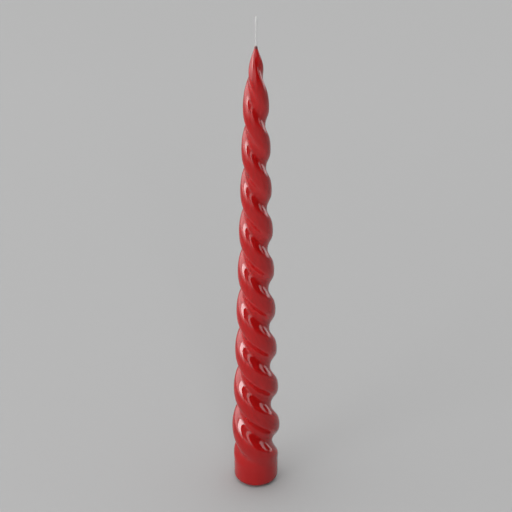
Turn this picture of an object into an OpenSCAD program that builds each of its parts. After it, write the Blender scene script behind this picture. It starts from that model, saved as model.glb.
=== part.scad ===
// Twisted taper candle. Two round strands wind about a straight wick, grow out of a plain round
// foot and close to a slim tip. A coloured coat covers a pale core.

/* [Candle] */
// Height of the wax, from the flat base to the tip
wax_h = 250; // [200:1:320]

/* [Foot] */
// Diameter of the plain round foot that a holder takes
foot_d = 22; // [20:0.5:25]
// Height of the plain foot
foot_h = 11; // [6:0.5:25]
// Radius of the foot's rounded lower edge
foot_edge = 3; // [0.5:0.1:4]
// Height over which the foot swells into the strands
swell_h = 12; // [8:0.5:30]

/* [Strands] */
// Rise of one full turn of a strand
pitch = 46.4; // [36:0.1:80]
// Radius over the crests of the strands, carried down to the base
crest_r_low = 13.2; // [11:0.1:16]
// Radius over the crests of the strands, carried up to the tip
crest_r_high = 5.8; // [4.6:0.1:9]
// How far the taper is drawn in from a straight line at half height
taper_dip = 0.4; // [0:0.1:1.5]
// Way in which the strands wind
twist_hand = -1; // [-1:left, 1:right]
// Direction of the first crest at the base, seen from above, in degrees
start_angle = -103.5; // [-180:0.5:180]

/* [Tip] */
// Height over which the strands close to the tip
tip_h = 60; // [25:1:80]
// Wax left round the wick at the very tip
tip_wall = 0.3; // [0.2:0.05:1]
// Turn that the strands lose as they close, in degrees
tip_lag = 48; // [0:1:90]

/* [Coat] */
// Thickness of the coloured coat
coat_t = 1; // [0.6:0.1:1.5]
// Least wax between the wick and the top of the pale core
core_wall = 0.4; // [0.2:0.1:1]

/* [Wick] */
// Diameter of the braided wick
wick_d = 1; // [0.8:0.1:2]
// Length of wick that stands out of the tip
wick_out = 16.5; // [5:0.5:30]

/* [Hidden] */

// Radius of one strand as a share of the crest radius, at the base and at the tip
strand_low_share = 0.645;
strand_high_share = 0.66;
// How far the sharp groove between the strands is softened, as a share of a strand's offset
groove_share = 0.28;
// What the dipping adds to the strands' round sides, as shares of the crest radius: waves with so
// many rises round the candle, one set even about each crest and one that leans over to a side
wave_rises = [2, 4, 6, 8];
even_wave_shares = [0, -0.0075, -0.013, 0.0065];
leaning_wave_shares = [0.016, -0.004, 0, 0];
// How late the tip starts to close
tip_late_power = 4.9;

// Points on each ring, and the step between the rings of the outer and of the inner skin
ring_points = 30;
coat_step = 2.25;
core_step = 3.75;
// Smoothness of the true rounds
round_fn = 96;
// Width of the fine rim left on top of the foot, where the strands rise just inside it
foot_rim = 0.05;
// Length by which a cut runs past what it cuts
overrun = 1;

foot_r = foot_d / 2;
wick_r = wick_d / 2;
core_foot_r = foot_r - coat_t;
neck_r = wick_r + tip_wall;

// Share of a way from start to end that z has gone, eased at both ends
function eased_share(z, start, length) =
    let (u = min(1, max(0, (z - start) / length)))
    u * u * (3 - 2 * u);

// Share of the closing tip that lies below z
function tip_share(z) = max(0, (z - wax_h + tip_h) / tip_h);

// Direction of the first strand's crest at height z
function crest_angle(z) =
    start_angle + twist_hand * (360 * z / pitch - tip_lag * pow(tip_share(z), 2));

// Radius over the crests at height z: a slightly hollow taper, closed at the tip
function crest_r(z) =
    let (t = z / wax_h, taper = crest_r_low + (crest_r_high - crest_r_low) * t - 4 * taper_dip * t * (1 - t))
    taper * (1 - pow(min(1, tip_share(z)), tip_late_power));

// What the dipping adds at an angle from the first strand's crest, as a share of the crest radius
function dipped_share(from_crest) =
    even_wave_shares * [for (rises = wave_rises) cos(rises * from_crest)]
    + twist_hand * leaning_wave_shares * [for (rises = wave_rises) sin(rises * from_crest)];

// Radius of two round strands side by side, at an angle from the first one's crest
function strands_r(z, from_crest) =
    let (
        strand_r = crest_r(z) * (strand_low_share + (strand_high_share - strand_low_share) * z / wax_h),
        offset_r = crest_r(z) - strand_r,
        toward = sqrt(pow(cos(from_crest), 2) + pow(groove_share, 2)) / norm([1, groove_share])
    )
    offset_r * toward + sqrt(pow(strand_r, 2) - pow(offset_r * sin(from_crest), 2))
    + crest_r(z) * dipped_share(from_crest);

// Outer radius of the wax: the round foot, swelling into the strands, ending in the neck
function wax_r(z, from_crest) =
    let (swell = eased_share(z, foot_h, swell_h))
    let (body_r = (foot_r - foot_rim) * (1 - swell) + strands_r(z, from_crest) * swell)
    norm([body_r, neck_r * tip_share(z)]);

// Heights of the rings from the foot up to a top, as even as the step allows
function ring_heights(top, step) =
    let (count = ceil((top - foot_h) / step))
    [for (i = [0 : count]) foot_h + (top - foot_h) * i / count];

// One ring of points at height z, drawn in from the wax's surface and turned with the strands
function ring(z, inset) = [
    for (i = [0 : ring_points - 1])
        let (from_crest = 360 * i / ring_points, a = crest_angle(z) + from_crest)
        let (r = wax_r(z, from_crest) - inset)
        [r * cos(a), r * sin(a), z]
];

// Highest ring at which a core still fits round the wick under the coat
core_h = max([
    for (z = ring_heights(wax_h, coat_step))
        if (wax_r(z, 90) - coat_t >= wick_r + core_wall) z
]);

coat_rings = [for (z = ring_heights(wax_h, coat_step)) ring(z, 0)];
core_rings = [for (z = ring_heights(core_h, core_step)) ring(z, coat_t)];

function joined(lists) = [for (list = lists) each list];

// Two triangles for each gap between neighbouring points of rings a and b, facing out when b is above
function band(a, b) = [
    for (i = [0 : ring_points - 1])
        let (j = (i + 1) % ring_points, low = a * ring_points, high = b * ring_points)
        each [[low + i, high + i, high + j], [low + i, high + j, low + j]]
];

// One face over ring a, facing up
function lid(a) = [for (i = [ring_points - 1 : -1 : 0]) a * ring_points + i];

// The same faces seen from their other side
function flipped(faces) = [for (face = faces) [for (i = [len(face) - 1 : -1 : 0]) face[i]]];

// Solid between the foot and the top of the core
module core_strands() {
    top = len(core_rings) - 1;
    polyhedron(
        points = joined(core_rings),
        faces = concat(flipped([lid(0)]), joined([for (k = [0 : top - 1]) band(k, k + 1)]), [lid(top)])
    );
}

// Cup upside down over the core: the inside has the core's own faces, so that the two fit
module coat_strands() {
    inner = len(coat_rings);
    last = inner + len(core_rings) - 1;
    polyhedron(
        points = joined(concat(coat_rings, core_rings)),
        faces = concat(
            joined([for (k = [0 : inner - 2]) band(k, k + 1)]),
            [lid(inner - 1)],
            flipped(joined([for (k = [inner : last - 1]) band(k, k + 1)])),
            flipped([lid(last)]),
            band(inner, 0)
        )
    );
}

// Half outline of the core's foot: its lower edge is cut back so that the coat is even round it
module core_foot_outline(top) {
    polygon([
        [0, 0],
        [core_foot_r - foot_edge, 0],
        [core_foot_r, foot_edge],
        [core_foot_r, top],
        [0, top]
    ]);
}

// Half outline of the whole foot, with its rounded lower edge
module foot_outline() {
    square([foot_r - foot_edge, foot_h]);
    translate([0, foot_edge]) square([foot_r, foot_h - foot_edge]);
    translate([foot_r - foot_edge, foot_edge]) circle(r = foot_edge, $fn = round_fn);
}

// Coloured, lacquered wax that was dipped over the core, cut flat with it at the base
module red_coat() {
    color([0.66, 0.07, 0.08])
        difference() {
            union() {
                rotate_extrude($fn = round_fn)
                    difference() {
                        foot_outline();
                        core_foot_outline(foot_h + overrun);
                    }
                coat_strands();
            }
            wick_hole();
        }
}

// Pale undyed wax that carries the shape and most of the weight
module wax_core() {
    color([0.94, 0.91, 0.83])
        difference() {
            union() {
                rotate_extrude($fn = round_fn) core_foot_outline(foot_h);
                core_strands();
            }
            wick_hole();
        }
}

module wick_hole() {
    translate([0, 0, -overrun]) cylinder(r = wick_r, h = wax_h + 2 * overrun, $fn = round_fn);
}

// Braided cotton wick, from the base to its cut end above the tip
module wick() {
    color([0.93, 0.92, 0.88])
        cylinder(r = wick_r, h = wax_h + wick_out, $fn = round_fn);
}

red_coat();
wax_core();
wick();
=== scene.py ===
import math

import bpy
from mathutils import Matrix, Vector


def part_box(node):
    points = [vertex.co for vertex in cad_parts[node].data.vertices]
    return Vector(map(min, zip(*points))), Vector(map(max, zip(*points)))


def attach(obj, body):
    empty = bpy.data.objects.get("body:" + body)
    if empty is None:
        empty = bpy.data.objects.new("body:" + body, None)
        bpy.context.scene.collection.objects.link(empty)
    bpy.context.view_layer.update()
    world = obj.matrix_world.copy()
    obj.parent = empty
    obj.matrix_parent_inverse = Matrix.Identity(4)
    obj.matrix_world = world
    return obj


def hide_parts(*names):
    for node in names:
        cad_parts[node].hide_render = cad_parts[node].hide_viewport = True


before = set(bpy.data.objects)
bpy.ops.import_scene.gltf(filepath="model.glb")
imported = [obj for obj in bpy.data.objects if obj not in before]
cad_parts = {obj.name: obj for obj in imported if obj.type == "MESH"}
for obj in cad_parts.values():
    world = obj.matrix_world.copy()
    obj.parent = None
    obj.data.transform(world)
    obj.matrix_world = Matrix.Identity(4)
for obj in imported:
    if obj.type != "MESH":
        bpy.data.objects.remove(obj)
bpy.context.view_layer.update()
bpy.context.scene.view_settings.view_transform = "Standard"


# Camera
# A long lens looks down on the whole candle from the front, from about 1.7 m away, so that the
# candle hardly narrows with distance.
camera_height = 1.079
camera_back = 1.4063
aim_height = 0.1329
lens_mm = 246.8

camera_data = bpy.data.cameras.new("camera")
camera_data.lens = lens_mm
camera_data.sensor_width = 36
camera_data.clip_start = 0.05
camera_data.clip_end = 60
camera = bpy.data.objects.new("camera", camera_data)
camera.location = (0, -camera_back, camera_height)
towards_candle = Vector((0, 0, aim_height)) - camera.location
camera.rotation_euler = towards_candle.to_track_quat("-Z", "Y").to_euler()
bpy.context.collection.objects.link(camera)
bpy.context.scene.camera = camera


# Wick
# Three bundles of cotton thread in a narrow flat braid, primed with wax so that it stands up.
# It runs from the base through the whole candle and ends in a short frayed cut above the tip.
wax_height = 0.250
wick_diameter = 0.001
wick_free = 0.0165

wick_sizes = {
    "Length": wax_height + wick_free,
    "Wick Diameter": wick_diameter,
    "Bundles": 3,
    "Bundle Diameter": 0.00044,
    "Braid Pitch": 0.0034,
    "Braid Depth Share": 0.55,
    "Points Per Pitch": 14,
    "Plies": 5,
    "Ply Groove Share": 0.16,
    "Ply Turns Per Pitch": 1.5,
    "Fray Length": 0.0008,
    "Fibres": 26,
    "Fibre Root Share": 0.07,
    "Fibre Tip Share": 0.03,
    "Tuft Depth Share": 0.7,
    "Seed": 4,
}
# Shares of the fray's length: how far below the wick's end the bundles stop and the fibres start
bundle_stop_share = 0.6
fibre_start_share = 1.02
# The turn in radians from one fibre's root to the next, which spreads them evenly over the tuft
golden_angle = 2.39996
# A fibre leans by up to so many radians either way, and is turned and shortened by chance
fibre_lean = 0.3
fibre_turn = 3
shortest_fibre_share = 0.35

cotton_colour = (0.50, 0.50, 0.50, 1)
shaded_cotton_colour = (0.41, 0.41, 0.41, 1)
fluff_scale = 5200.0
fuzz_height = 0.00003
# Red that crept up from the wax, to about this height over it, in patches
stained_cotton_colour = (0.16, 0.04, 0.04, 1)
stain_height = 0.0006
stain_fade = 0.0009
stain_patchiness = 0.5
patch_scale = 2600.0


class Reckoned:
    """A value that nodes work out. Ordinary arithmetic on it adds Math nodes to its tree."""

    def __init__(self, tree, socket):
        self.tree = tree
        self.socket = socket

    def math(self, operation, *others):
        node = self.tree.nodes.new("ShaderNodeMath")
        node.operation = operation
        for entry, value in zip(node.inputs, (self, *others)):
            fill(self.tree, entry, value)
        return Reckoned(self.tree, node.outputs[0])

    def __add__(self, other):
        return self.math("ADD", other)

    def __sub__(self, other):
        return self.math("SUBTRACT", other)

    def __rsub__(self, other):
        return (self * -1) + other

    def __mul__(self, other):
        return self.math("MULTIPLY", other)

    def __truediv__(self, other):
        return self.math("DIVIDE", other)

    def __pow__(self, other):
        return self.math("POWER", other)

    def sin(self):
        return self.math("SINE")

    def cos(self):
        return self.math("COSINE")

    def root(self):
        return self.math("SQRT")

    def kept_within(self, low, high):
        return self.math("MAXIMUM", low).math("MINIMUM", high)


def fill(tree, entry, value):
    """Gives a node's input a value, or links it to a socket or a reckoned value."""
    if isinstance(value, Reckoned):
        value = value.socket
    if isinstance(value, bpy.types.NodeSocket):
        tree.links.new(value, entry)
    else:
        entry.default_value = value


def add_node(tree, kind, entries=None, **options):
    """Adds a node with its options set and its inputs filled by name or number."""
    node = tree.nodes.new(kind)
    for option, value in options.items():
        setattr(node, option, value)
    for name, value in (entries or {}).items():
        fill(tree, node.inputs[name], value)
    return node


def reckon(tree, kind, entries=None, output=0, **options):
    """Adds a node and returns one of its outputs as a reckoned value."""
    return Reckoned(tree, add_node(tree, kind, entries, **options).outputs[output])


def coordinate(tree, place, axis):
    """One coordinate of a vector: axis 0, 1 or 2 for x, y or z."""
    return reckon(tree, "ShaderNodeSeparateXYZ", {0: place}, output=axis)


def placed(tree, geometry, x, y, z):
    """Moves every point of a geometry to x, y, z."""
    place = reckon(tree, "ShaderNodeCombineXYZ", {"X": x, "Y": y, "Z": z})
    return reckon(tree, "GeometryNodeSetPosition", {"Geometry": geometry, "Position": place})


def new_geometry_tree(name, sizes):
    """A Geometry Nodes tree with a geometry and a material input and one named input for each size."""
    tree = bpy.data.node_groups.new(name, "GeometryNodeTree")
    tree.interface.new_socket("Geometry", in_out="INPUT", socket_type="NodeSocketGeometry")
    tree.interface.new_socket("Material", in_out="INPUT", socket_type="NodeSocketMaterial")
    for size_name, value in sizes.items():
        kind = "NodeSocketInt" if isinstance(value, int) else "NodeSocketFloat"
        tree.interface.new_socket(size_name, in_out="INPUT", socket_type=kind)
    tree.interface.new_socket("Geometry", in_out="OUTPUT", socket_type="NodeSocketGeometry")
    given = tree.nodes.new("NodeGroupInput").outputs
    return tree, {size_name: Reckoned(tree, given[size_name]) for size_name in sizes}, given


def end_tree(tree, geometry, material):
    """Ends the tree in Realize Instances and Set Material."""
    realized = reckon(tree, "GeometryNodeRealizeInstances", {"Geometry": geometry})
    painted = reckon(tree, "GeometryNodeSetMaterial", {"Geometry": realized, "Material": material})
    fill(tree, tree.nodes.new("NodeGroupOutput").inputs[0], painted)


def grown_mesh(name, seed_mesh, tree, sizes, material):
    """Runs a tree on a seed mesh and returns the result as an object with a plain mesh."""
    piece = bpy.data.objects.new(name, seed_mesh)
    bpy.context.collection.objects.link(piece)
    modifier = piece.modifiers.new(tree.name, "NODES")
    modifier.node_group = tree
    values = dict(sizes, Material=material)
    for socket in tree.interface.items_tree:
        if socket.in_out == "INPUT" and socket.name in values:
            modifier[socket.identifier] = values[socket.name]
    evaluated = piece.evaluated_get(bpy.context.evaluated_depsgraph_get())
    mesh = bpy.data.meshes.new_from_object(evaluated)
    piece.modifiers.clear()
    piece.data = mesh
    mesh.name = name
    return piece


def braided_wick_tree(sizes):
    """Lays the bundles of plies in a flat braid up the z axis and sets a tuft on its cut end."""
    tree, size, given = new_geometry_tree("braided_wick", sizes)
    bundle_start = size["Bundle Diameter"] / 2
    bundle_length = size["Length"] - size["Fray Length"] * bundle_stop_share - bundle_start
    point_count = bundle_length / size["Braid Pitch"] * size["Points Per Pitch"] + 1
    reach = (size["Wick Diameter"] - size["Bundle Diameter"]) / 2

    line = reckon(tree, "GeometryNodeCurvePrimitiveLine")
    runs = reckon(
        tree, "GeometryNodeResampleCurve", {"Curve": line, "Count": point_count.math("ROUND")}
    )
    bundles = add_node(
        tree,
        "GeometryNodeDuplicateElements",
        {"Geometry": runs, "Amount": size["Bundles"]},
        domain="SPLINE",
    ).outputs
    height = bundle_start + reckon(tree, "GeometryNodeSplineParameter") * bundle_length
    phase = Reckoned(tree, bundles["Duplicate Index"]) / size["Bundles"]
    turn = (height / size["Braid Pitch"] + phase) * math.tau
    # Seen from above, each bundle runs round a figure of eight
    depth = (turn * 2).sin() * reach * size["Braid Depth Share"]
    laid = placed(tree, bundles["Geometry"], turn.sin() * reach, depth, height)
    twisted = reckon(
        tree, "GeometryNodeSetCurveTilt", {"Curve": laid, "Tilt": turn * size["Ply Turns Per Pitch"]}
    )

    ply_round = reckon(
        tree,
        "GeometryNodeCurvePrimitiveCircle",
        {"Resolution": size["Plies"] * 2, "Radius": size["Bundle Diameter"] / 2},
    )
    every_other = reckon(tree, "GeometryNodeInputIndex").math("MODULO", 2)
    drawn_in = reckon(
        tree,
        "ShaderNodeVectorMath",
        {
            0: reckon(tree, "GeometryNodeInputPosition"),
            "Scale": 1 - every_other * size["Ply Groove Share"],
        },
        operation="SCALE",
    )
    ply_outline = reckon(
        tree, "GeometryNodeSetPosition", {"Geometry": ply_round, "Position": drawn_in}
    )
    thread = reckon(
        tree,
        "GeometryNodeCurveToMesh",
        {"Curve": twisted, "Profile Curve": ply_outline, "Fill Caps": True},
    )

    # The cut end: stray fibres that start inside the bundles and lean outwards
    fibre = reckon(
        tree,
        "GeometryNodeMeshCone",
        {
            "Vertices": 4,
            "Side Segments": 2,
            "Radius Top": size["Bundle Diameter"] * size["Fibre Tip Share"],
            "Radius Bottom": size["Bundle Diameter"] * size["Fibre Root Share"],
            "Depth": size["Fray Length"],
        },
    )
    number = reckon(tree, "GeometryNodeInputIndex")
    golden_turn = number * golden_angle
    spread = (number / size["Fibres"]).root() * reach
    roots = placed(
        tree,
        reckon(tree, "GeometryNodePoints", {"Count": size["Fibres"]}),
        golden_turn.cos() * spread,
        golden_turn.sin() * spread * size["Tuft Depth Share"],
        size["Length"] - size["Fray Length"] * fibre_start_share,
    )
    lean = reckon(
        tree,
        "FunctionNodeRandomValue",
        {
            "Min": (-fibre_lean, -fibre_lean, 0),
            "Max": (fibre_lean, fibre_lean, fibre_turn),
            "Seed": size["Seed"],
        },
        data_type="FLOAT_VECTOR",
    )
    length_share = reckon(
        tree,
        "FunctionNodeRandomValue",
        {2: shortest_fibre_share, 3: 1.0, "Seed": size["Seed"] + 1},
        output=1,
        data_type="FLOAT",
    )
    stretch = reckon(tree, "ShaderNodeCombineXYZ", {"X": 1.0, "Y": 1.0, "Z": length_share})
    tuft = reckon(
        tree,
        "GeometryNodeInstanceOnPoints",
        {"Points": roots, "Instance": fibre, "Rotation": lean, "Scale": stretch},
    )
    both = add_node(tree, "GeometryNodeJoinGeometry")
    for part in (tuft, thread):
        fill(tree, both.inputs[0], part)
    end_tree(tree, both.outputs[0], given["Material"])
    return tree


def new_material(name, **finish):
    """A node material with one Principled shader, whose plain values are set on its own sockets."""
    material = bpy.data.materials.new(name)
    material.use_nodes = True
    shader = material.node_tree.nodes["Principled BSDF"]
    for entry, value in finish.items():
        shader.inputs[entry.replace("_", " ")].default_value = value
    return material, material.node_tree, shader


def object_place(tree):
    """Where a point of the surface lies in the candle's own frame, in metres."""
    return reckon(tree, "ShaderNodeTexCoord", output="Object")


def noise(tree, place, scale, detail=2.0):
    """Soft patches between nought and one, roughly so many to a metre as scale says."""
    return reckon(tree, "ShaderNodeTexNoise", {"Vector": place, "Scale": scale, "Detail": detail})


def mixed_colour(tree, share, first, second):
    """The first colour where share is nought, and the second where it is one."""
    return reckon(
        tree, "ShaderNodeMix", {"Factor": share, 6: first, 7: second}, output=2, data_type="RGBA"
    )


def bump(tree, shader, height, distance, strength):
    """Raises the surface by up to distance, where the height is one."""
    raised = reckon(
        tree, "ShaderNodeBump", {"Height": height, "Distance": distance, "Strength": strength}
    )
    fill(tree, shader.inputs["Normal"], raised)


cotton, tree, shader = new_material(
    "primed_cotton", Roughness=0.62, IOR=1.46, Sheen_Weight=0.15, Sheen_Roughness=0.5
)
place = object_place(tree)
fluff = noise(tree, place, fluff_scale, detail=3.0)
patches = noise(tree, place, patch_scale)
stain = (wax_height + stain_height - coordinate(tree, place, 2)) / stain_fade
stain = (stain + patches * stain_patchiness).kept_within(0, 1)
shade = mixed_colour(tree, fluff, shaded_cotton_colour, cotton_colour)
fill(tree, shader.inputs["Base Color"], mixed_colour(tree, stain, shade, stained_cotton_colour))
bump(tree, shader, fluff, fuzz_height, strength=0.6)

wick_seed = bpy.data.meshes.new("wick_seed")
wick = grown_mesh("braided_wick", wick_seed, braided_wick_tree(wick_sizes), wick_sizes, cotton)
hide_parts("wick")
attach(wick, "root")


# Core
# Pale undyed wax, two round strands wound about each other round the wick, over a plain foot.
# It is seen only as a disc in the flat base. The tree that shapes it shapes the coat as well.
foot_diameter = 0.022
foot_edge = 0.003
coat_thickness = 0.001
core_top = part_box("wax_core")[1].z

wax_sizes = {
    "Wax Height": wax_height,
    "Foot Diameter": foot_diameter,
    "Foot Height": 0.011,
    "Swell Height": 0.012,
    "Pitch": 0.0464,
    "Low Crest Radius": 0.0132,
    "High Crest Radius": 0.0058,
    "Taper Dip": 0.0004,
    "Twist Hand": -1.0,
    "Start Angle": math.radians(-103.5),
    "Tip Height": 0.060,
    "Tip Lag": math.radians(48),
    "Tip Late Power": 4.9,
    "Tip Wall": 0.0003,
    "Wick Diameter": wick_diameter,
    "Low Strand Share": 0.645,
    "High Strand Share": 0.66,
    "Groove Share": 0.28,
    "Around": 128,
}
# Waves that the dipping lays over the strands' round sides, as shares of the crest radius: how
# many rises round the candle, the wave that is even about each crest and the one that leans
dipped_waves = [(2, 0.0, 0.016), (4, -0.0075, -0.004), (6, -0.013, 0.0), (8, 0.0065, 0.0)]
for rises, even_share, leaning_share in dipped_waves:
    wax_sizes[f"Even Wave {rises}"] = even_share
    wax_sizes[f"Leaning Wave {rises}"] = leaning_share
seam_gap = 0.000002
sharp_edge = math.radians(50)

core_arc_steps = 10
core_row = 0.002
light_wax_colour = (0.88, 0.84, 0.73, 1)
dull_wax_colour = (0.78, 0.71, 0.56, 1)
cut_mark_depth = 0.00002


def twisted_wax_tree(sizes):
    """Sweeps a section about the wick. A section point's x is how far it lies inside the wax's
    surface, and its z is its height."""
    tree, size, given = new_geometry_tree("twisted_wax", sizes)
    section = given["Geometry"]
    rows = reckon(tree, "GeometryNodeAttributeDomainSize", {"Geometry": section})
    grid = reckon(
        tree,
        "GeometryNodeMeshGrid",
        {"Size X": 1.0, "Size Y": 1.0, "Vertices X": rows, "Vertices Y": size["Around"] + 1},
    )
    grid_place = reckon(tree, "GeometryNodeInputPosition")
    row = ((coordinate(tree, grid_place, 0) + 0.5) * (rows - 1)).math("ROUND")
    column = ((coordinate(tree, grid_place, 1) + 0.5) * size["Around"]).math("ROUND")
    section_point = reckon(
        tree,
        "GeometryNodeSampleIndex",
        {"Geometry": section, "Value": reckon(tree, "GeometryNodeInputPosition"), "Index": row},
        data_type="FLOAT_VECTOR",
    )
    inset = coordinate(tree, section_point, 0)
    z = coordinate(tree, section_point, 2)

    share = z / size["Wax Height"]
    tip_share = ((z - size["Wax Height"]) / size["Tip Height"] + 1).kept_within(0, 1)
    from_crest = column / size["Around"] * math.tau
    crest_angle = size["Start Angle"] + size["Twist Hand"] * (
        z / size["Pitch"] * math.tau - size["Tip Lag"] * tip_share**2
    )
    taper = (
        size["Low Crest Radius"]
        + (size["High Crest Radius"] - size["Low Crest Radius"]) * share
        - size["Taper Dip"] * 4 * share * (1 - share)
    )
    crest = taper * (1 - tip_share ** size["Tip Late Power"])
    strand = crest * (
        size["Low Strand Share"] + (size["High Strand Share"] - size["Low Strand Share"]) * share
    )
    offset = crest - strand
    soft = size["Groove Share"] ** 2
    toward = ((from_crest.cos() ** 2 + soft) / (soft + 1)).root()
    strands = offset * toward + (strand**2 - (offset * from_crest.sin()) ** 2).root()
    for rises, _, _ in dipped_waves:
        even = (from_crest * rises).cos() * size[f"Even Wave {rises}"]
        leaning = (from_crest * rises).sin() * size[f"Leaning Wave {rises}"] * size["Twist Hand"]
        strands += crest * (even + leaning)

    swell = ((z - size["Foot Height"]) / size["Swell Height"]).kept_within(0, 1)
    swell = swell**2 * (3 - swell * 2)
    body = size["Foot Diameter"] / 2 * (1 - swell) + strands * swell
    neck = (size["Wick Diameter"] / 2 + size["Tip Wall"]) * tip_share
    surface = (body**2 + neck**2).root()
    radius = (surface - inset).math("MAXIMUM", size["Wick Diameter"] / 2)
    bearing = crest_angle + from_crest
    # Painted light: the share by which the coat is painted a lighter red, one on the foot, most in the
    # grooves and nought on the crests
    painted_groove_light = reckon(
        tree,
        "GeometryNodeStoreNamedAttribute",
        {"Geometry": grid, "Name": "painted_groove_light", "Value": 1 - toward * swell},
        data_type="FLOAT",
    )
    swept = placed(tree, painted_groove_light, radius * bearing.cos(), radius * bearing.sin(), z)
    closed = reckon(tree, "GeometryNodeMergeByDistance", {"Geometry": swept, "Distance": seam_gap})
    smooth = reckon(tree, "GeometryNodeSetShadeSmooth", {"Geometry": closed, "Shade Smooth": True})
    sharp = reckon(tree, "GeometryNodeInputMeshEdgeAngle").math("GREATER_THAN", sharp_edge)
    edged = reckon(
        tree,
        "GeometryNodeSetShadeSmooth",
        {"Geometry": smooth, "Selection": sharp, "Shade Smooth": False},
        domain="EDGE",
    )
    end_tree(tree, edged, given["Material"])
    return tree


def foot_arc(inset, steps):
    """Section points up the foot's rounded lower edge, for a surface that lies inset inside the wax's."""
    angles = [math.pi / 2 * i / steps for i in range(steps + 1)]
    return [(inset + foot_edge * (1 - math.sin(a)), foot_edge * (1 - math.cos(a))) for a in angles]


def climb_points(inset, low, high, step):
    """Section points straight up from just above low to high."""
    count = math.ceil((high - low) / step)
    return [(inset, low + (high - low) * (i + 1) / count) for i in range(count)]


def section_mesh(name, points):
    """Mesh of the section's points with their insets as x, joined by edges in their order."""
    mesh = bpy.data.meshes.new(name)
    edges = [(i, i + 1) for i in range(len(points) - 1)]
    mesh.from_pydata([(inset, 0, z) for inset, z in points], edges, [])
    return mesh


def wax_mottle_group():
    """Cloudiness, slow unevenness and fine grain of wax, for the core's and the coat's materials."""
    group = bpy.data.node_groups.new("wax_mottle", "ShaderNodeTree")
    layers = (("Cloud", 90.0, 4.0), ("Ripple", 60.0, 1.0), ("Grain", 3000.0, 2.0))
    for name, scale, _ in layers:
        sockets = group.interface
        entry = sockets.new_socket(f"{name} Scale", in_out="INPUT", socket_type="NodeSocketFloat")
        entry.default_value = scale
        sockets.new_socket(name, in_out="OUTPUT", socket_type="NodeSocketFloat")
    given = group.nodes.new("NodeGroupInput").outputs
    out = group.nodes.new("NodeGroupOutput").inputs
    place = object_place(group)
    for name, _, detail in layers:
        fill(group, out[name], noise(group, place, given[f"{name} Scale"], detail))
    return group


wax_tree = twisted_wax_tree(wax_sizes)
core_side = foot_arc(coat_thickness, core_arc_steps) + climb_points(
    coat_thickness, foot_edge, core_top, core_row
)
# An inset as large as the foot's width is cut short at the wick's surface
to_wick = foot_diameter
core_section = [
    (to_wick, 0),
    (foot_diameter / 4, 0),
    *core_side,
    (to_wick, core_top),
    (to_wick, core_top / 2),
    (to_wick, 0),
]

core_wax, tree, shader = new_material(
    "pale_wax", Roughness=0.42, IOR=1.44, Subsurface_Weight=0.25, Subsurface_Scale=0.002
)
wax_mottle = wax_mottle_group()
mottle = add_node(tree, "ShaderNodeGroup", node_tree=wax_mottle).outputs
pale = mixed_colour(tree, mottle["Cloud"], dull_wax_colour, light_wax_colour)
fill(tree, shader.inputs["Base Color"], pale)
bump(tree, shader, mottle["Grain"], cut_mark_depth, strength=0.5)

core_seed = section_mesh("core_section", core_section)
core = grown_mesh("wax_core_body", core_seed, wax_tree, wax_sizes, core_wax)
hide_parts("wax_core")
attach(core, "root")


# Coat
# Deep red wax, dipped about a millimetre thick over the core and lacquered to an even gloss. It
# ends in a short neck that creeps up the wick, and is cut flat with the core at the base.
coat_arc_steps = 14
coat_row = 0.0006
neck_row = 0.00025
neck_start = wax_height - 0.002
creep_start = wax_height - 0.0003
creep_end = wax_height + 0.0004
# Points of the creep: how far inside the wax's surface, and how far above the wax's height
creep = [(0.00004, -0.00012), (0.00014, -0.00002), (0.00024, 0.00012)]
# The skin lies this far inside the smooth surface, so that it stays within the faceted solid
inside_solid = 0.00005
# Inset of the ring on the flat face with which the coat lies over the core's top
cap_ring_inset = 0.0015

red_wax_colour = (0.292, 0.0040, 0.0043, 1)
deep_red_colour = (0.232, 0.0030, 0.0034, 1)
cloud_share = 0.6
# Painted light: how much lighter red the grooves and the foot are painted
painted_groove_light_share = 0.4
gloss_roughness = 0.01
grain_roughness = 0.012
ripple_depth = 0.00006
# Painted shade: the coat's last millimetre, round the wick's foot, is painted dark
painted_tip_shade_colour = (0.080, 0.018, 0.021, 1)
painted_tip_shade_start = wax_height - 0.0010
painted_tip_shade_fade = 0.0004

outer_side = (
    foot_arc(inside_solid, coat_arc_steps)
    + climb_points(inside_solid, foot_edge, neck_start, coat_row)
    + climb_points(inside_solid, neck_start, creep_start, neck_row)
)
coat_section = [
    *outer_side,
    *((inset, wax_height + rise) for inset, rise in creep),
    (to_wick, creep_end),
    (to_wick, core_top),
    (cap_ring_inset, core_top),
    *reversed(core_side),
    outer_side[0],
]


def ramp(tree, value, start, end, kind="SMOOTHSTEP"):
    """Nought up to start and one from end on, eased between them, or even where kind is LINEAR."""
    limits = {"Value": value, "From Min": start, "From Max": end}
    return reckon(tree, "ShaderNodeMapRange", limits, interpolation_type=kind)


lacquered_red, tree, shader = new_material(
    "lacquered_red_wax",
    IOR=1.45,
    Subsurface_Weight=0.5,
    Subsurface_Radius=(1.0, 0.2, 0.15),
    Subsurface_Scale=0.0016,
)
mottle = add_node(tree, "ShaderNodeGroup", node_tree=wax_mottle).outputs
# Painted light: the grooves and the foot are painted a lighter red, to offset the shade that falls there;
# the cloud deepens the red at random
painted_groove_light = reckon(tree, "ShaderNodeAttribute", output="Fac", attribute_name="painted_groove_light")
deepness = (Reckoned(tree, mottle["Cloud"]) * cloud_share - painted_groove_light * painted_groove_light_share).kept_within(0, 1)
red = mixed_colour(tree, deepness, red_wax_colour, deep_red_colour)
height = coordinate(tree, object_place(tree), 2)
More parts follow.
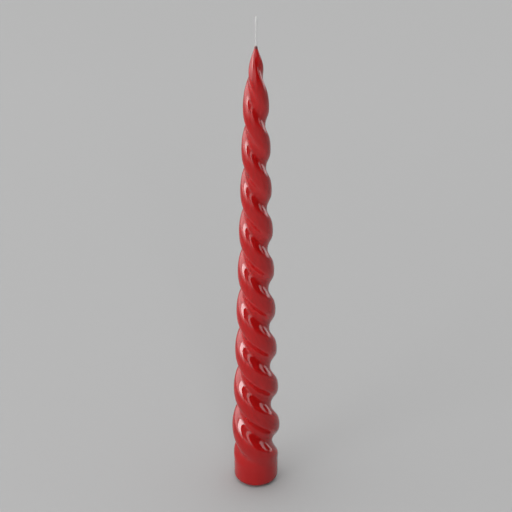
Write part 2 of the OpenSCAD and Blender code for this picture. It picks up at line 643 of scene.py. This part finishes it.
# Painted shade at the wick's foot, over the coat's last millimetre
painted_tip_shade = ramp(tree, height, painted_tip_shade_start, painted_tip_shade_start + painted_tip_shade_fade, "LINEAR")
fill(tree, shader.inputs["Base Color"], mixed_colour(tree, painted_tip_shade, red, painted_tip_shade_colour))
roughness = Reckoned(tree, mottle["Grain"]) * grain_roughness + gloss_roughness
fill(tree, shader.inputs["Roughness"], roughness)
bump(tree, shader, mottle["Ripple"], ripple_depth, strength=1.0)

coat_seed = section_mesh("coat_section", coat_section)
coat = grown_mesh("red_wax_coat", coat_seed, wax_tree, wax_sizes, lacquered_red)
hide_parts("red_coat")
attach(coat, "root")


# Floor
# Plain pale grey paper under the candle, and the same paper beyond it, which fades into the grey
# of the room, so that no edge shows from any side. The part beyond isn't seen in reflections,
# because the lamps beside the table reach below its level.
# Painted shade: the paper is painted darker towards the front of the table
back_paper_colour = (0.303, 0.303, 0.303, 1)
front_paper_colour = (0.277, 0.277, 0.277, 1)
turn_front, turn_back = -0.02, 0.375
fibre_scale = 900.0
fibre_contrast = 0.12
room_grey = (0.473, 0.473, 0.473, 1)
fade_start, fade_end = 0.36, 0.72
near_left, near_right, near_front, near_back = -0.26, 0.33, -0.45, 0.42
far = 20.0

paper, tree, shader = new_material("pale_paper", Roughness=1.0, Specular_IOR_Level=0.0)
place = object_place(tree)
fibres = noise(tree, place, fibre_scale, detail=3.0)
# Painted shade: darker towards the front, with the fibres' grain over it
towards_back = ramp(tree, coordinate(tree, place, 1), turn_front, turn_back, "LINEAR")
tone_share = towards_back + (fibres - 0.5) * fibre_contrast
fill(
    tree,
    shader.inputs["Base Color"],
    mixed_colour(tree, tone_share, front_paper_colour, back_paper_colour),
)
from_candle = reckon(tree, "ShaderNodeVectorMath", {0: place}, output="Value", operation="LENGTH")
haze = reckon(tree, "ShaderNodeEmission", {"Color": room_grey})
faded = reckon(
    tree,
    "ShaderNodeMixShader",
    {0: ramp(tree, from_candle, fade_start, fade_end), 1: shader.outputs[0], 2: haze},
)
fill(tree, tree.nodes["Material Output"].inputs["Surface"], faded)


def staged(name, points, faces, material):
    """Adds a piece of the surroundings, which isn't part of the candle."""
    mesh = bpy.data.meshes.new(name)
    mesh.from_pydata(points, [], faces)
    mesh.materials.append(material)
    piece = bpy.data.objects.new(name, mesh)
    bpy.context.collection.objects.link(piece)
    return piece


def corners(left, right, front, back):
    """Corners of an oblong at the height of the candle's base, in order round it."""
    return [(left, front, 0), (right, front, 0), (right, back, 0), (left, back, 0)]


near_corners = corners(near_left, near_right, near_front, near_back)
far_corners = corners(-far, far, -far, far)
staged("floor", near_corners, [(0, 1, 2, 3)], paper)
floor_beyond = staged(
    "floor_beyond",
    near_corners + far_corners,
    [(i, 4 + i, 4 + (i + 1) % 4, (i + 1) % 4) for i in range(4)],
    paper,
)
floor_beyond.visible_glossy = False
floor_beyond.visible_shadow = False


# Lamps
# A wide soft light from above, a little from the back left, gives the floor its tone. Soft panels
# stand round the table: those for the gloss show only in reflections, and those for the colours
# stand just behind them and light everything else.
overhead_strength = 4.7
overhead_spread = math.radians(100)
overhead_bearing = math.radians(-150)
overhead_tilt = math.radians(15)


def outwards(bearing):
    """Level direction at a bearing from the camera's side of the table, to the right if positive."""
    return Vector((math.sin(bearing), -math.cos(bearing), 0))


overhead = bpy.data.lights.new("overhead", "SUN")
overhead.energy = overhead_strength
overhead.angle = overhead_spread
overhead_lamp = bpy.data.objects.new("overhead", overhead)
towards_lamp = outwards(overhead_bearing) * math.sin(overhead_tilt)
towards_lamp.z = math.cos(overhead_tilt)
overhead_lamp.rotation_euler = towards_lamp.to_track_quat("Z", "Y").to_euler()
overhead_lamp.visible_glossy = False
bpy.context.collection.objects.link(overhead_lamp)


def soft_lamp(name, width, height, radiance, fades):
    """An area lamp that fades towards its left, right, lower and upper edge over the lengths in fades."""
    data = bpy.data.lights.new(name, "AREA")
    data.shape = "RECTANGLE"
    data.size = width
    data.size_y = height
    data.energy = radiance * math.pi * width * height
    data.use_nodes = True
    tree = data.node_tree
    across = reckon(tree, "ShaderNodeNewGeometry", output="Parametric")
    u, v = coordinate(tree, across, 0), coordinate(tree, across, 1)
    left, right, lower, upper = fades
    glow = ramp(tree, u, 0, left / width) * ramp(tree, 1 - u, 0, right / width)
    glow = glow * ramp(tree, v, 0, lower / height) * ramp(tree, 1 - v, 0, upper / height)
    fill(tree, tree.nodes["Emission"].inputs["Strength"], glow)
    return data


# Name: bearing from the camera's side in degrees, distance, lowest and highest point, width,
# fades on the left, right, lower and upper edge, radiance
gloss_panels = {
    "front_left": (-52.8, 1.00, 0.08, 0.80, 0.48, (0.03, 0.03, 0.38, 0.05), 15.6),
    "left": (-87, 0.80, -0.22, 0.40, 1.86, (0.10, 0.10, 0.40, 0.12), 3.9),
    "low_front": (-12, 1.00, -0.24, 0.28, 0.89, (0.05, 0.62, 0.44, 0.04), 1.8),
    "high_front": (-15, 1.02, 0.24, 0.80, 0.56, (0.05, 0.08, 0.06, 0.05), 0.3),
    "front": (6.5, 1.00, -0.07, 0.80, 0.40, (0.11, 0.11, 0.55, 0.05), 3.1),
    "right": (85.5, 1.00, 0.00, 0.60, 0.50, (0.14, 0.14, 0.30, 0.05), 2.8),
    "back_right": (123, 1.00, -0.20, 0.12, 1.10, (0.15, 0.15, 0.18, 0.12), 2.5),
}
light_panels = {
    "front_left": (-49, 1.05, 0.10, 0.80, 0.48, (0.03, 0.03, 0.30, 0.05), 4.2),
    "low_left": (-80, 0.85, -0.25, 0.18, 1.60, (0.10, 0.10, 0.10, 0.08), 5.2),
    "low_front": (-14, 1.05, -0.20, 0.28, 0.80, (0.05, 0.05, 0.20, 0.04), 4.0),
    "below_front": (-40, 1.05, -0.42, 0.08, 0.80, (0.05, 0.05, 0.10, 0.08), 3.8),
    "front": (7.5, 1.05, 0.05, 0.80, 0.37, (0.11, 0.11, 0.30, 0.05), 8.6),
}
for use, panels in (("gloss", gloss_panels), ("light", light_panels)):
    for name, (bearing, distance, low, high, width, fades, radiance) in panels.items():
        out = outwards(math.radians(bearing))
        lamp = soft_lamp(f"{name}_{use}", width, high - low, radiance, fades)
        panel = bpy.data.objects.new(f"{name}_{use}", lamp)
        panel.location = out * distance + Vector((0, 0, (low + high) / 2))
        panel.rotation_euler = (-out).to_track_quat("-Z", "Y").to_euler()
        panel.visible_camera = False
        panel.visible_diffuse = use == "light"
        panel.visible_glossy = use == "gloss"
        bpy.context.collection.objects.link(panel)


# Room
# A round wall stands far behind the panels, where only reflections find it: grey like the floor
# at its foot and nearly black above the table. The world is the room's grey where the camera or
# a reflection sees it, and gives no light.
wall_radius, wall_low, wall_high, wall_sides = 2.4, -1.4, 1.8, 48
horizon_low, horizon_high = -0.65, 0.12
low_wall_colour = (0.42, 0.42, 0.42, 1)
high_wall_colour = (0.03, 0.03, 0.03, 1)

wall_material = bpy.data.materials.new("dim_wall")
wall_material.use_nodes = True
tree = wall_material.node_tree
darkness = ramp(tree, coordinate(tree, object_place(tree), 2), horizon_low, horizon_high)
wall_tone = mixed_colour(tree, darkness, low_wall_colour, high_wall_colour)
wall_glow = reckon(tree, "ShaderNodeEmission", {"Color": wall_tone})
fill(tree, tree.nodes["Material Output"].inputs["Surface"], wall_glow)

turns = [math.tau * i / wall_sides for i in range(wall_sides)]
ring = [(wall_radius * math.cos(turn), wall_radius * math.sin(turn)) for turn in turns]
sides = [(i, (i + 1) % wall_sides) for i in range(wall_sides)]
wall = staged(
    "dim_wall",
    [(x, y, z) for z in (wall_low, wall_high) for x, y in ring],
    [(a, b, wall_sides + b, wall_sides + a) for a, b in sides],
    wall_material,
)
wall.visible_camera = False
wall.visible_diffuse = False
wall.visible_shadow = False

world = bpy.data.worlds.new("grey_room")
bpy.context.scene.world = world
world.use_nodes = True
tree = world.node_tree
sees = add_node(tree, "ShaderNodeLightPath").outputs
seen = Reckoned(tree, sees["Is Camera Ray"]) + sees["Is Glossy Ray"] + sees["Is Transmission Ray"]
background = tree.nodes["Background"]
background.inputs["Color"].default_value = room_grey
fill(tree, background.inputs["Strength"], seen.kept_within(0, 1))
